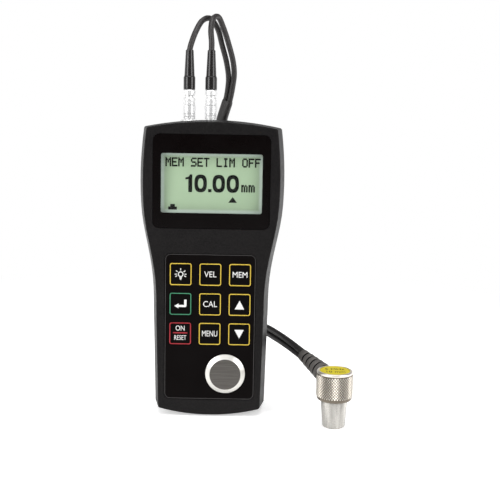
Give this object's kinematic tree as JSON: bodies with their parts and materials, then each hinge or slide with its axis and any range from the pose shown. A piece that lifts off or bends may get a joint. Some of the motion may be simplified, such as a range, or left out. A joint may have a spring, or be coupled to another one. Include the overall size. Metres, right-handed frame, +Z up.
{
  "type": "ultrasonic thickness gauge",
  "caption": "Hand-held ultrasonic thickness gauge with a waisted black case, display window, keypad, calibration disc and a knurled probe on a twin cord with push-pull plugs.",
  "frame": {"origin": "middle of the flat foot under the case", "axes": "+X to the gauge's right as it is read, -Y out of the front face, +Z up along the case"},
  "size_m": [0.1085, 0.147, 0.2043],
  "materials": {
    "case": "fine moulded texture, black",
    "seal": "matt black",
    "steel_screw": "bright zinc",
    "window": "polished clear plate with a black printed border",
    "lcd": "pale green liquid crystal panel",
    "backlight": "white light guide",
    "panel": "satin printed film, near black",
    "key_yellow": "satin black with a yellow outline",
    "key_green": "satin black with a green outline",
    "key_red": "satin black with a red outline",
    "switch": "black",
    "disc": "ground face and turned bevel",
    "board": "green solder mask",
    "cell": "dark sleeve with bright ends",
    "spring": "nickel plated",
    "socket": "matt chrome",
    "brass": "machined",
    "plug": "matt chrome",
    "boot": "satin black",
    "cord": "satin dark grey",
    "tie": "black hook and loop",
    "head": "nickel plated, knurled",
    "yellow": "yellow, satin",
    "collar": "turned stainless",
    "delay": "amber",
    "cork": "brown",
    "crystal": "matt",
    "backing": "grey brown, filled"
  },
  "bodies": {
    "gauge": {"front_shell": "case", "rear_shell": "case", "case_seal": "seal", "case_screws": "steel_screw", "display_window": "window", "lcd_gasket": "seal", "lcd_panel": "lcd", "lcd_backlight": "backlight", "keypad_panel": "panel", "key_switches": "switch", "calibration_disc": "disc", "disc_clip": "steel_screw", "main_board": "board", "board_screws": "steel_screw", "battery_cells": "cell", "battery_springs": "spring", "battery_plates": "spring", "left_socket": "socket", "right_socket": "socket", "socket_nuts": "brass", "left_plug_body": "plug", "left_plug_nut": "plug", "left_plug_boot": "boot", "right_plug_body": "plug", "right_plug_nut": "plug", "right_plug_boot": "boot", "left_lead": "cord", "right_lead": "cord", "cord_drop": "cord", "cord_hank": "cord", "hank_tie": "tie", "cord_tail": "cord", "probe_boot": "boot", "probe_head": "head", "probe_disc": "yellow", "probe_collar": "collar", "send_delay": "delay", "receive_delay": "delay", "probe_barrier": "cork", "probe_crystals": "crystal", "probe_backing": "backing"},
    "key_light": {"key_light": "key_yellow"},
    "key_velocity": {"key_velocity": "key_yellow"},
    "key_store": {"key_store": "key_yellow"},
    "key_enter": {"key_enter": "key_green"},
    "key_calibrate": {"key_calibrate": "key_yellow"},
    "key_up": {"key_up": "key_yellow"},
    "key_power": {"key_power": "key_red"},
    "key_menu": {"key_menu": "key_yellow"},
    "key_down": {"key_down": "key_yellow"},
    "left_sleeve": {"left_plug_sleeve": "plug"},
    "right_sleeve": {"right_plug_sleeve": "plug"},
    "battery_door": {"battery_door": "case"}
  },
  "joints": [
    {"name": "key_light_press", "type": "slide", "parent": "gauge", "child": "key_light", "axis": [0, 1, 0], "range_m": [0, 0.0004], "stiffness_N_per_m": 800},
    {"name": "key_velocity_press", "type": "slide", "parent": "gauge", "child": "key_velocity", "axis": [0, 1, 0], "range_m": [0, 0.0004], "stiffness_N_per_m": 800},
    {"name": "key_store_press", "type": "slide", "parent": "gauge", "child": "key_store", "axis": [0, 1, 0], "range_m": [0, 0.0004], "stiffness_N_per_m": 800},
    {"name": "key_enter_press", "type": "slide", "parent": "gauge", "child": "key_enter", "axis": [0, 1, 0], "range_m": [0, 0.0004], "stiffness_N_per_m": 800},
    {"name": "key_calibrate_press", "type": "slide", "parent": "gauge", "child": "key_calibrate", "axis": [0, 1, 0], "range_m": [0, 0.0004], "stiffness_N_per_m": 800},
    {"name": "key_up_press", "type": "slide", "parent": "gauge", "child": "key_up", "axis": [0, 1, 0], "range_m": [0, 0.0004], "stiffness_N_per_m": 800},
    {"name": "key_power_press", "type": "slide", "parent": "gauge", "child": "key_power", "axis": [0, 1, 0], "range_m": [0, 0.0004], "stiffness_N_per_m": 800},
    {"name": "key_menu_press", "type": "slide", "parent": "gauge", "child": "key_menu", "axis": [0, 1, 0], "range_m": [0, 0.0004], "stiffness_N_per_m": 800},
    {"name": "key_down_press", "type": "slide", "parent": "gauge", "child": "key_down", "axis": [0, 1, 0], "range_m": [0, 0.0004], "stiffness_N_per_m": 800},
    {"name": "left_sleeve_pull", "type": "slide", "parent": "gauge", "child": "left_sleeve", "axis": [0, 0, 1], "range_m": [0, 0.001], "stiffness_N_per_m": 300},
    {"name": "right_sleeve_pull", "type": "slide", "parent": "gauge", "child": "right_sleeve", "axis": [0, 0, 1], "range_m": [0, 0.001], "stiffness_N_per_m": 300},
    {"name": "battery_door_swing", "type": "hinge", "parent": "gauge", "child": "battery_door", "pos_m": [0, 0.015, 0.0705], "axis": [1, 0, 0], "range_deg": [0, 40]}
  ]
}
